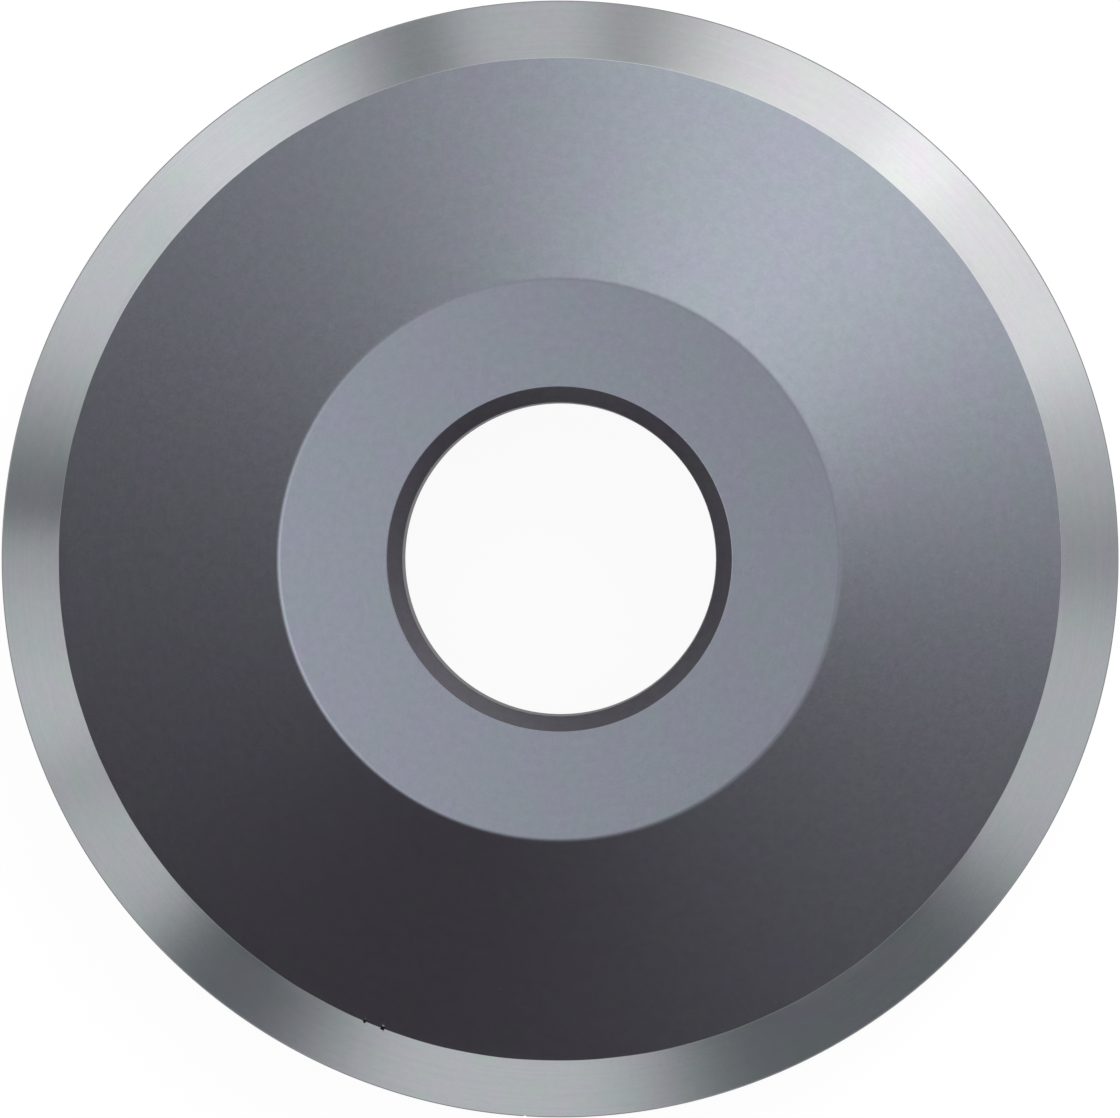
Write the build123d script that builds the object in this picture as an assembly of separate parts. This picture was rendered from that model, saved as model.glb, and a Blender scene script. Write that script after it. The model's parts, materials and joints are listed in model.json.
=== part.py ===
from build123d import *

import math
import os

# A wheel that scores tiles, pressed and ground from one piece of tungsten carbide.
# It turns about Z, its centre is the origin, and both of its sides are alike.
# From the bore outwards each side has a chamfer, a flat hub face, a sloping flank
# and the ground bevel that ends in the cutting edge.
# Lengths are in millimetres and angles in degrees.

# Driving dimensions
EDGE_DIAMETER = 22.0  # over the cutting edge
EDGE_ANGLE = 84.0  # between the two bevels
EDGE_RADIUS = 0.06  # honed round along the cutting edge
BEVEL_WIDTH = 1.15  # of one bevel, measured along the radius
HUB_DIAMETER = 11.0  # where the hub face meets the flank
HUB_WIDTH = 5.0  # from one hub face to the other
HUB_EDGE_RADIUS = 0.15  # round between a hub face and its flank
BORE_DIAMETER = 6.15  # runs freely on a 6 mm pin
BORE_CHAMFER = 0.3  # leg of the 45 degree chamfer at each mouth of the bore


def section_corners():
    """Corners of the upper half of the section, from the bore out to the cutting edge."""
    bore_radius = BORE_DIAMETER / 2
    edge_radius = EDGE_DIAMETER / 2
    face_height = HUB_WIDTH / 2
    bevel_slope = math.radians(EDGE_ANGLE / 2)

    # The bevels would meet this far out if the edge were left sharp.
    sharp_radius = edge_radius + EDGE_RADIUS / math.sin(bevel_slope) - EDGE_RADIUS
    root_radius = edge_radius - BEVEL_WIDTH
    root_height = (sharp_radius - root_radius) * math.tan(bevel_slope)

    bore_mouth = (bore_radius, face_height - BORE_CHAMFER)
    chamfer_rim = (bore_radius + BORE_CHAMFER, face_height)
    hub_rim = (HUB_DIAMETER / 2, face_height)
    bevel_root = (root_radius, root_height)
    sharp_edge = (sharp_radius, 0)
    return bore_mouth, chamfer_rim, hub_rim, bevel_root, sharp_edge


def wheel_section():
    """The face that sweeps out the wheel, on the plane through its axis."""
    upper = section_corners()
    lower = [(radius, -height) for radius, height in reversed(upper[:-1])]

    with BuildSketch(Plane.XZ) as section:
        with BuildLine():
            Polyline(*upper, *lower, close=True)
        make_face()
        hub_rims = section.vertices().filter_by(lambda v: math.isclose(v.X, HUB_DIAMETER / 2))
        fillet(hub_rims, HUB_EDGE_RADIUS)
        cutting_edge = section.vertices().sort_by(Axis.X)[-1]
        fillet(cutting_edge, EDGE_RADIUS)
    return section.sketch


def cutter_wheel():
    """The whole wheel, one turned solid."""
    return revolve(wheel_section(), Axis.Z)


os.makedirs("parts", exist_ok=True)
export_step(cutter_wheel(), "parts/cutter_wheel.step")
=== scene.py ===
import json
import math

import bpy
import numpy as np
from mathutils import Matrix, Vector


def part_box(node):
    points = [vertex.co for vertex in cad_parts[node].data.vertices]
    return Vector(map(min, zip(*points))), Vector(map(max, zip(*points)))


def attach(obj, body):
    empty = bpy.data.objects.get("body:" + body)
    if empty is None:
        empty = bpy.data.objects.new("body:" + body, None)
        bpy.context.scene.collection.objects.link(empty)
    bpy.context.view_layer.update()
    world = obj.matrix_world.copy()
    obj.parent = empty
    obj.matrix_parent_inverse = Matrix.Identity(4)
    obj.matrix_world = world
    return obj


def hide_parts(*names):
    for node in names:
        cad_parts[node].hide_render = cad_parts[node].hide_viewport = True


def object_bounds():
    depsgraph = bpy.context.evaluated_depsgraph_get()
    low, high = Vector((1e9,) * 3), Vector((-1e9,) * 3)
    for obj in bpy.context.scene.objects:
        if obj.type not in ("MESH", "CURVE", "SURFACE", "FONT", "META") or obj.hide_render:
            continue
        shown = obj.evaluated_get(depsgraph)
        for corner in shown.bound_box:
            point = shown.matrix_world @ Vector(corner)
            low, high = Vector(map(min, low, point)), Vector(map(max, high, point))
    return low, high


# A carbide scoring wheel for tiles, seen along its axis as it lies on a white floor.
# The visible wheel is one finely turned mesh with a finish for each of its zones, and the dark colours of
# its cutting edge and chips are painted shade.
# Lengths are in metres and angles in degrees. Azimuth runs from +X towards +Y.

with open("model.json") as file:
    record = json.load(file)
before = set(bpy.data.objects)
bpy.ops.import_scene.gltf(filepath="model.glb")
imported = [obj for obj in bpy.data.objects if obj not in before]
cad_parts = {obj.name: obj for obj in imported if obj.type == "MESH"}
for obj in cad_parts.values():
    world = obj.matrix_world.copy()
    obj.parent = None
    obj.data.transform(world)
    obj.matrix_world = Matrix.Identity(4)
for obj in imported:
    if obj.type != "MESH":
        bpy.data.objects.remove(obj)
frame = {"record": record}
cad_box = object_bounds()

MM = 0.001
WHITE = (1, 1, 1, 1)

# Sizes of the wheel. Its reach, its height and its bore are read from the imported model,
# and the others are those of the solid.
WHEEL = "cutter_wheel"
EDGE_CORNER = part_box(WHEEL)[1]
EDGE_RADIUS = EDGE_CORNER.x
FACE_HEIGHT = EDGE_CORNER.z
BORE_RADIUS = frame["record"]["mounts"][0]["dims"]["r_mm"] * MM
BORE_CHAMFER = 0.3 * MM
HUB_RADIUS = 5.5 * MM
BEVEL_WIDTH = 1.15 * MM
BEVEL_SLOPE = 42  # of one bevel against the wheel's middle plane

# Roundings along the section's corners
CUTTING_ROUND = 0.06 * MM
HUB_ROUND = 0.3 * MM
ROOT_ROUND = 0.04 * MM
CHAMFER_ROUND = 0.03 * MM

# Fineness of the turned mesh
SEGMENTS = 360
ARC_STEPS = 5  # strips across each rounding
FIRST_ROW = 0.012 * MM  # from a rounding to the row beside it, which keeps the flats flat
ROW_GROWTH = 2.0  # each gap between rows is this much wider than the last
WIDEST_GAP = 0.6 * MM

# Zones, which are also the mesh's material slots
BORE, HUB, FLANK, BEVEL, EDGE, CHIP = range(6)

# Small chips that the photograph shows: azimuth, where on the section, and width
NICKS = (
    (247.1, "root", 0.06 * MM),
    (249.3, "root", 0.08 * MM),
    (266.4, "edge", 0.08 * MM),
)
NICK_DEPTH = 0.35  # of its width
NICK_COLUMNS = 15  # of points across each nick

# The ground line between flank and bevel strays a little as it goes round.
ROOT_WANDER = 0.012 * MM
WANDER_REACH = 0.1 * MM  # how far from that line its neighbours stray with it
# Its waves: how many go round the wheel, where they start in radians, and their share
WANDER_WAVES = (
    (3, 0.4, 0.35),
    (7, 2.1, 0.3),
    (16, 4.4, 0.2),
    (41, 1.3, 0.15),
)


def sharp_radius():
    """Where the two bevels would meet if the edge weren't honed round."""
    return EDGE_RADIUS + CUTTING_ROUND / math.sin(math.radians(BEVEL_SLOPE)) - CUTTING_ROUND


def root_corner():
    """Radius and height of the line where the flank meets the upper bevel."""
    radius = EDGE_RADIUS - BEVEL_WIDTH
    return radius, (sharp_radius() - radius) * math.tan(math.radians(BEVEL_SLOPE))


def section_corners():
    """The closed section: radius, height, rounding, and the zone of the run that follows."""
    root_radius, root_height = root_corner()
    upper = [
        (BORE_RADIUS, FACE_HEIGHT - BORE_CHAMFER, CHAMFER_ROUND, BORE),
        (BORE_RADIUS + BORE_CHAMFER, FACE_HEIGHT, CHAMFER_ROUND, HUB),
        (HUB_RADIUS, FACE_HEIGHT, HUB_ROUND, FLANK),
        (root_radius, root_height, ROOT_ROUND, BEVEL),
    ]
    lower = [
        (root_radius, -root_height, ROOT_ROUND, FLANK),
        (HUB_RADIUS, -FACE_HEIGHT, HUB_ROUND, HUB),
        (BORE_RADIUS + BORE_CHAMFER, -FACE_HEIGHT, CHAMFER_ROUND, BORE),
        (BORE_RADIUS, BORE_CHAMFER - FACE_HEIGHT, CHAMFER_ROUND, BORE),
    ]
    return upper + [(sharp_radius(), 0.0, CUTTING_ROUND, BEVEL)] + lower


def rounded_corner(before, corner, after, radius):
    """Points of the arc that rounds a corner, from one tangent point to the other."""
    towards = (before - corner) / np.linalg.norm(before - corner)
    away = (after - corner) / np.linalg.norm(after - corner)
    half = math.acos(float(np.dot(towards, away))) / 2
    middle = (towards + away) / np.linalg.norm(towards + away)
    centre = corner + middle * radius / math.sin(half)
    first = corner + towards * radius / math.tan(half) - centre
    last = corner + away * radius / math.tan(half) - centre
    sweep = math.pi - 2 * half
    arc = []
    for share in np.linspace(0, 1, ARC_STEPS + 1):
        blend = math.sin((1 - share) * sweep) * first + math.sin(share * sweep) * last
        arc.append(centre + blend / math.sin(sweep))
    return arc


def straight_run(start, end):
    """Points strictly between two roundings, close together beside each of them."""
    length = np.linalg.norm(end - start)
    near = []
    gap = FIRST_ROW
    along = gap
    while along < length / 2:
        near.append(along)
        gap = min(gap * ROW_GROWTH, WIDEST_GAP)
        along += gap
    distances = near + [length - distance for distance in reversed(near)]
    return [start + (end - start) * distance / length for distance in distances]


def arc_zones(height, before, after):
    """Zones of the strips across a rounding. The cutting edge, at height 0, is a zone itself."""
    if height == 0:
        return [EDGE] * ARC_STEPS
    first_half = ARC_STEPS // 2
    return [before] * first_half + [after] * (ARC_STEPS - first_half)


def section_rows():
    """Points of the whole section in order, and the zone of the strip after each."""
    corners = section_corners()
    points = [np.array((radius, height)) for radius, height, _, _ in corners]
    count = len(corners)
    arcs = []
    for i, (_, _, rounding, _) in enumerate(corners):
        arcs.append(rounded_corner(points[i - 1], points[i], points[(i + 1) % count], rounding))
    rows = []
    zones = []
    for i, (_, height, _, zone) in enumerate(corners):
        run = straight_run(arcs[i][-1], arcs[(i + 1) % count][0])
        zone_before = corners[i - 1][-1]
        rows += arcs[i] + run
        zones += arc_zones(height, zone_before, zone) + [zone] * (len(run) + 1)
    return np.array(rows), zones


def nick_place(azimuth, where):
    """The middle of a nick, at the root of the upper bevel or on the cutting edge."""
    radius, height = root_corner() if where == "root" else (EDGE_RADIUS, 0.0)
    turn = math.radians(azimuth)
    return np.array([radius * math.cos(turn), radius * math.sin(turn), height])


def column_turns():
    """Angles of the mesh's columns in radians, even ones and finer ones across each nick."""
    azimuths = set(np.arange(SEGMENTS) * 360 / SEGMENTS)
    for azimuth, _, width in NICKS:
        reach = math.degrees(width / EDGE_RADIUS)
        azimuths |= set(azimuth + np.linspace(-reach, reach, NICK_COLUMNS))
    return np.radians(sorted(azimuths))


def root_wander(turns):
    """A smooth uneven line round the wheel, from -1 to 1."""
    return sum(share * np.sin(count * turns + start) for count, start, share in WANDER_WAVES)


def turned_points(rows, turns):
    """Every vertex of the wheel, row by row."""
    radius = rows[:, 0][:, None]
    height = rows[:, 1][:, None]
    root_radius, root_height = root_corner()
    from_root = np.hypot(radius - root_radius, np.abs(height) - root_height)
    near_root = np.exp(-((from_root / WANDER_REACH) ** 2))
    radius = radius + near_root * ROOT_WANDER * root_wander(turns)[None, :]
    across = np.ones_like(turns)[None, :]
    return np.stack([radius * np.cos(turns), radius * np.sin(turns), height * across], axis=-1)


def chip(points):
    """Sinks the vertices within each nick, and says which lie in one."""
    chipped = np.zeros(points.shape[:-1], bool)
    for azimuth, where, width in NICKS:
        middle = nick_place(azimuth, where)
        away = np.linalg.norm(points - middle, axis=-1) / (width / 2)
        depth = width * NICK_DEPTH * np.clip(1 - away**2, 0, 1)
        inwards = -middle / np.linalg.norm(middle)
        points += depth[..., None] * inwards
        chipped |= away < 1
    return points, chipped


def wheel_mesh(materials):
    """The turned wheel as one closed mesh."""
    rows, zones = section_rows()
    points, chipped = chip(turned_points(rows, column_turns()))
    row_count, column_count = chipped.shape
    faces = []
    face_zones = []
    for row, zone in enumerate(zones):
        next_row = (row + 1) % row_count
        for column in range(column_count):
            next_column = (column + 1) % column_count
            corners = ((row, column), (row, next_column), (next_row, next_column), (next_row, column))
            faces.append([i * column_count + j for i, j in corners])
            broken = any(chipped[corner] for corner in corners)
            face_zones.append(CHIP if broken else zone)
    mesh = bpy.data.meshes.new("wheel")
    mesh.from_pydata(points.reshape(-1, 3).tolist(), [], faces)
    for material in materials:
        mesh.materials.append(material)
    mesh.polygons.foreach_set("material_index", face_zones)
    mesh.polygons.foreach_set("use_smooth", [True] * len(faces))
    mesh.update()
    mesh.validate()
    return mesh


# Shader nodes. An input is a value, or an output socket of another node.


def node_input(node, name):
    """An input by its name, or by its number where the name is i and a number."""
    if name[0] == "i" and name[1:].isdigit():
        return node.inputs[int(name[1:])]
    return node.inputs[name]


def add_node(tree, kind, **inputs):
    """Makes a node and fills the inputs that are named."""
    node = tree.nodes.new(kind)
    for name, value in inputs.items():
        socket = node_input(node, name)
        if isinstance(value, bpy.types.NodeSocket):
            tree.links.new(value, socket)
        else:
            socket.default_value = value
    return node


def maths(tree, operation, first, second):
    """The result of one operation on two numbers."""
    node = add_node(tree, "ShaderNodeMath", i0=first, i1=second)
    node.operation = operation
    return node.outputs[0]


def combined(tree, x, y, z):
    """A vector or a colour from its three numbers."""
    return add_node(tree, "ShaderNodeCombineXYZ", X=x, Y=y, Z=z).outputs[0]


def noise(tree, vector, scale, detail=2.0, roughness=0.5):
    """A cloudy pattern with values from 0 to 1."""
    texture = add_node(tree, "ShaderNodeTexNoise", Vector=vector, Scale=scale, Detail=detail)
    texture.inputs["Roughness"].default_value = roughness
    return texture.outputs["Fac"]


def varied(tree, pattern, middle, share):
    """Maps a pattern of 0 to 1 onto the numbers that lie within a share of the middle one."""
    low = middle * (1 - share)
    return maths(tree, "ADD", maths(tree, "MULTIPLY", pattern, 2 * middle * share), low)


# Finishes of the carbide. A fineness is the scale of a noise, so it counts by the metre.

CLOUD_FINENESS = 1.3 / MM
PATCH_FINENESS = 6.0 / MM
PATCH_DETAIL = 3.0
SPECK_FINENESS = 22.0 / MM
LINE_FINENESS = 30.0 / MM  # of the grinding lines, along the radius
LINE_DRIFT = 2.5  # how fast the lines change on their way round the axis
LINE_SCALE = 1.0  # because their coordinates hold the fineness
LINE_DETAIL = 3.0
LINE_ROUGHNESS = 0.6
HUE_DRIFT = 0.06  # between slightly green and slightly purple clouds
ROUGHNESS_SPREAD = 0.08  # share by which the specks change the roughness
BUMP_STRENGTH = 0.5
BUMP_HEIGHT = 0.002 * MM


def line_coordinates(tree, place):
    """Coordinates that change fast along the radius and slowly round the axis."""
    parts = add_node(tree, "ShaderNodeSeparateXYZ", Vector=place).outputs
    flat = combined(tree, parts["X"], parts["Y"], 0.0)
    length = add_node(tree, "ShaderNodeVectorMath", i0=flat)
    length.operation = "LENGTH"
    unit = add_node(tree, "ShaderNodeVectorMath", i0=flat)
    unit.operation = "NORMALIZE"
    around = add_node(tree, "ShaderNodeSeparateXYZ", Vector=unit.outputs["Vector"]).outputs
    return combined(
        tree,
        maths(tree, "MULTIPLY", length.outputs["Value"], LINE_FINENESS),
        maths(tree, "MULTIPLY", around["X"], LINE_DRIFT),
        maths(tree, "MULTIPLY", around["Y"], LINE_DRIFT),
    )


def carbide(name, colour, roughness, mottle, grain, lines):
    """Cemented carbide: fine grain, slight mottling and faint grinding lines round the axis.

    Mottle and lines are the shares by which they change the tone. Grain and lines are
    the heights of the specks and of the grinding lines in the relief.
    """
    material = bpy.data.materials.new(name)
    material.use_nodes = True
    tree = material.node_tree
    shader = tree.nodes["Principled BSDF"]
    place = add_node(tree, "ShaderNodeTexCoord").outputs["Object"]

    clouds = noise(tree, place, CLOUD_FINENESS)
    patches = noise(tree, place, PATCH_FINENESS, PATCH_DETAIL)
    specks = noise(tree, place, SPECK_FINENESS)
    rings = noise(tree, line_coordinates(tree, place), LINE_SCALE, LINE_DETAIL, LINE_ROUGHNESS)

    red, green, blue = colour
    hue = combined(
        tree,
        varied(tree, clouds, red, -HUE_DRIFT),
        varied(tree, clouds, green, HUE_DRIFT),
        varied(tree, clouds, blue, -HUE_DRIFT),
    )
    tone = varied(tree, patches, 1, mottle)
    tone = maths(tree, "MULTIPLY", tone, varied(tree, specks, 1, mottle))
    tone = maths(tree, "MULTIPLY", tone, varied(tree, rings, 1, lines))
    paint = add_node(tree, "ShaderNodeVectorMath", i0=hue, i1=combined(tree, tone, tone, tone))
    paint.operation = "MULTIPLY"
    tree.links.new(paint.outputs["Vector"], shader.inputs["Base Color"])
    tree.links.new(varied(tree, specks, roughness, ROUGHNESS_SPREAD), shader.inputs["Roughness"])
    shader.inputs["Metallic"].default_value = 1.0

    grains = maths(tree, "MULTIPLY", specks, grain)
    grooves = maths(tree, "MULTIPLY", rings, lines)
    bump = add_node(tree, "ShaderNodeBump", Strength=BUMP_STRENGTH, Distance=BUMP_HEIGHT)
    tree.links.new(maths(tree, "ADD", grains, grooves), bump.inputs["Height"])
    tree.links.new(bump.outputs[0], shader.inputs["Normal"])
    return material


def finishes():
    """One material for each zone, in the order of the zones. The dark colours of the cutting edge and of
    the chips are painted shade.
    """
    return [
        carbide("sintered_bore", (0.13, 0.126, 0.145), roughness=0.55, mottle=0.15, grain=1.0, lines=0.0),
        carbide("lapped_hub", (0.226, 0.247, 0.288), roughness=0.24, mottle=0.06, grain=0.6, lines=0.03),
        carbide("satin_flank", (0.229, 0.25, 0.284), roughness=0.26, mottle=0.09, grain=0.6, lines=0.03),
        carbide("ground_bevel", (0.405, 0.42, 0.43), roughness=0.17, mottle=0.04, grain=0.2, lines=0.06),
        # The edge's dark colour is painted shade: it darkens the rim line, which would otherwise mirror
        # the white floor.
        carbide("honed_edge_painted_shade", (0.2, 0.205, 0.21), roughness=0.4, mottle=0.03, grain=0.3, lines=0.0),
        # The chips are sunk into the mesh, and their near-black colour is painted shade in those hollows.
        carbide("chip_painted_shade", (0.025, 0.025, 0.03), roughness=0.7, mottle=0.1, grain=1.0, lines=0.0),
    ]


def build_wheel():
    """The whole visible wheel, which stands for the solid."""
    wheel = bpy.data.objects.new("carbide_wheel", wheel_mesh(finishes()))
    bpy.context.scene.collection.objects.link(wheel)
    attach(wheel, "root")
    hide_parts(WHEEL)


# Light tent. Its cloth glows where a lamp stands behind it and is darker between the lamps.

TENT_RADIUS = 0.14
TENT_STEP = 1.5  # between neighbouring points of the cloth
TENT_RIM = -4.5  # elevation of its lowest points

# The upper cloth, and its round lamps: azimuth, angle from the zenith, spread and brightness
TENT_DARK = (0.06, 0.035, 0.048)
ROUND_LAMPS = (
    (194, 15, 12.5, 2.1),
    (54, 50, 35, 1.95),
    (131, 40, 28, 0.4),
    (322, 20, 22, 0.42),
)
ROUND_FALL = 2  # power by which a round lamp's glow falls away from its middle

# A pale band round the upper cloth. Its top edge fades between these two elevations.
BAND_FULL = 28
BAND_TOP = 36
BAND_GLOW = 0.8

# The low cloth near the horizon, which the camera sees mirrored in the bevel. It fades
# into the upper cloth between these two elevations.
LOW_DARK = (0.19, 0.204, 0.225)
LOW_FULL = 13
LOW_TOP = 19

# Its lamps: azimuth, half width, brightness and colour
WARM = (1.05, 1.0, 0.985)
NEUTRAL = (1.0, 1.0, 1.0)
LOW_LAMPS = (
    (50, 30, 1.55, WARM),
    (48, 5, 0.35, WARM),
    (94, 9, 0.72, NEUTRAL),
    (125, 12, 0.26, NEUTRAL),
    (138, 28, 1.0, NEUTRAL),
    (182, 5.5, 0.55, NEUTRAL),
    (195, 9, 0.82, NEUTRAL),
    (214, 10, 0.73, NEUTRAL),
    (263, 20, 0.84, NEUTRAL),
    (341, 19, 0.73, NEUTRAL),
    (15, 13, 0.6, NEUTRAL),
)
LOW_FALL = 4  # the same power for a low lamp, whose glow is flatter in its middle


def direction(azimuth, from_zenith):
    """The unit vector that points that way."""
    turn = np.radians(azimuth)
    lean = np.radians(from_zenith)
    across = np.sin(lean)
    return np.stack([across * np.cos(turn), across * np.sin(turn), np.cos(lean)], axis=-1)


def faded(elevations, full, top):
    """A share of 1 up to one elevation that falls smoothly to 0 at the other."""
    straight = np.clip((top - elevations) / (top - full), 0, 1)
    return straight * straight * (3 - 2 * straight)


def upper_light(azimuths, elevations):
    """Colour of the upper cloth in each direction from the wheel."""
    ways = direction(azimuths, 90 - elevations)
    light = BAND_GLOW * faded(elevations, BAND_FULL, BAND_TOP)
    for azimuth, from_zenith, spread, brightness in ROUND_LAMPS:
        cosine = np.clip(ways @ direction(azimuth, from_zenith), -1, 1)
        off = np.degrees(np.arccos(cosine))
        light = light + brightness * np.exp(-((off / spread) ** ROUND_FALL))
    return light[..., None] + np.array(TENT_DARK)


def low_light(azimuths):
    """Colour of the low cloth at each azimuth."""
    light = np.zeros(azimuths.shape + (3,)) + np.array(LOW_DARK)
    for azimuth, half_width, brightness, colour in LOW_LAMPS:
        off = np.abs((azimuths - azimuth + 180) % 360 - 180)
        glow = brightness * np.exp(-((off / half_width) ** LOW_FALL))
        light = light + glow[..., None] * np.array(colour)
    return light


def tent_mesh():
    """The dome, with the colour of its cloth at every point."""
    elevations, azimuths = np.meshgrid(
        np.arange(TENT_RIM, 90 + TENT_STEP / 2, TENT_STEP),
        np.arange(0, 360, TENT_STEP),
        indexing="ij",
    )
    points = direction(azimuths, 90 - elevations) * TENT_RADIUS
    row_count, column_count = azimuths.shape
    faces = []
    for row in range(row_count - 1):
        here = row * column_count
        above = here + column_count
        for column in range(column_count):
            beside = (column + 1) % column_count
            faces.append((here + column, above + column, above + beside, here + beside))
    mesh = bpy.data.meshes.new("light_tent")
    mesh.from_pydata(points.reshape(-1, 3).tolist(), [], faces)

    low_share = faded(elevations, LOW_FULL, LOW_TOP)[..., None]
    light = upper_light(azimuths, elevations) * (1 - low_share) + low_light(azimuths) * low_share
    opaque = np.ones(azimuths.shape + (1,))
    glow = mesh.attributes.new("glow", "FLOAT_COLOR", "POINT")
    glow.data.foreach_set("color", np.concatenate([light, opaque], axis=-1).ravel())
    return mesh


def tent_cloth():
    """Cloth that gives off the colour of each point's glow."""
    material = bpy.data.materials.new("tent_cloth")
    material.use_nodes = True
    material.cycles.emission_sampling = "NONE"
    tree = material.node_tree
    tree.nodes.remove(tree.nodes["Principled BSDF"])
    glow = add_node(tree, "ShaderNodeAttribute")
    glow.attribute_name = "glow"
    light = add_node(tree, "ShaderNodeEmission", Color=glow.outputs["Color"], Strength=1.0)
    tree.links.new(light.outputs[0], tree.nodes["Material Output"].inputs["Surface"])
    return material


def build_tent():
    """A dome round the wheel that lights it and shows only in its reflections."""
    mesh = tent_mesh()
    mesh.materials.append(tent_cloth())
    tent = bpy.data.objects.new("light_tent", mesh)
    bpy.context.scene.collection.objects.link(tent)
    tent.visible_camera = False


# Floor and world

FLOOR_SIZE = 3.0
FLOOR_GLOW = 0.93  # lifts the floor to white where it is seen
FLOOR_SHOWN = (0.11, 0.11, 0.11, 1)  # takes the wheel's shadow where it is seen
FLOOR_BOUNCE = (0.85, 0.85, 0.85, 1)  # throws light back up at the wheel


def white_floor():
    """White to the camera and in reflections, with the wheel's shadow on it."""
    material = bpy.data.materials.new("white_floor")
    material.use_nodes = True
    tree = material.node_tree
    tree.nodes.remove(tree.nodes["Principled BSDF"])
    path = add_node(tree, "ShaderNodeLightPath").outputs
    seen = maths(tree, "ADD", path["Is Camera Ray"], path["Is Glossy Ray"])
    seen = maths(tree, "ADD", seen, path["Is Transmission Ray"])
    seen = maths(tree, "MINIMUM", seen, 1.0)

    # Inputs 6 and 7 of a mix are its two colours, and output 2 is the mixed one.
    paint = add_node(tree, "ShaderNodeMix", i0=seen, i6=FLOOR_BOUNCE, i7=FLOOR_SHOWN)
    paint.data_type = "RGBA"
    matt = add_node(tree, "ShaderNodeBsdfDiffuse", Color=paint.outputs[2])
    strength = maths(tree, "MULTIPLY", seen, FLOOR_GLOW)
    glow = add_node(tree, "ShaderNodeEmission", Color=WHITE, Strength=strength)
    both = add_node(tree, "ShaderNodeAddShader", i0=matt.outputs[0], i1=glow.outputs[0])
    tree.links.new(both.outputs[0], tree.nodes["Material Output"].inputs["Surface"])
    return material


def build_floor():
    """A wide square at the level that the wheel lies on."""
    half = FLOOR_SIZE / 2
    corners = [(-half, -half), (half, -half), (half, half), (-half, half)]
    mesh = bpy.data.meshes.new("floor")
    mesh.from_pydata([(x, y, cad_box[0].z) for x, y in corners], [], [(0, 1, 2, 3)])
    mesh.materials.append(white_floor())
    floor = bpy.data.objects.new("floor", mesh)
    bpy.context.scene.collection.objects.link(floor)


def light_world():
    """A plain white room round everything."""
    world = bpy.data.worlds.new("white_room")
    world.use_nodes = True
    background = world.node_tree.nodes["Background"]
    background.inputs["Color"].default_value = WHITE
    background.inputs["Strength"].default_value = 1.0
    world.cycles.sampling_method = "NONE"
    bpy.context.scene.world = world


# Camera, almost straight above the wheel. The photograph looks a little from the right,
# because the bore's far mouth shows off the middle of its near one.

CAMERA_HEIGHT = 0.375
CAMERA_AZIMUTH = 20
CAMERA_TILT = 0.35
CLIP_RATIO = 10  # what is this many times nearer or farther than the wheel isn't seen
PHOTO_WIDTH = 1120
WHEEL_IN_PHOTO = 1117.0  # the wheel's diameter in the photograph, in its pixels
SENSOR_MM = 36.0


def build_camera():
    """A camera that looks at the origin and frames the wheel as the photograph does."""
    seen_width = 2 * EDGE_RADIUS * PHOTO_WIDTH / WHEEL_IN_PHOTO
    data = bpy.data.cameras.new("camera")
    data.sensor_width = SENSOR_MM
    data.lens = SENSOR_MM * CAMERA_HEIGHT / seen_width
    data.clip_start = CAMERA_HEIGHT / CLIP_RATIO
    data.clip_end = CAMERA_HEIGHT * CLIP_RATIO
    camera = bpy.data.objects.new("camera", data)
    hinge = Vector(direction(CAMERA_AZIMUTH + 90, 90))
    overhead = Matrix.Translation((0, 0, CAMERA_HEIGHT))
    camera.matrix_world = Matrix.Rotation(math.radians(CAMERA_TILT), 4, hinge) @ overhead
    bpy.context.scene.collection.objects.link(camera)
    bpy.context.scene.camera = camera


build_wheel()
build_tent()
build_floor()
light_world()
build_camera()
bpy.context.scene.view_settings.view_transform = "Standard"
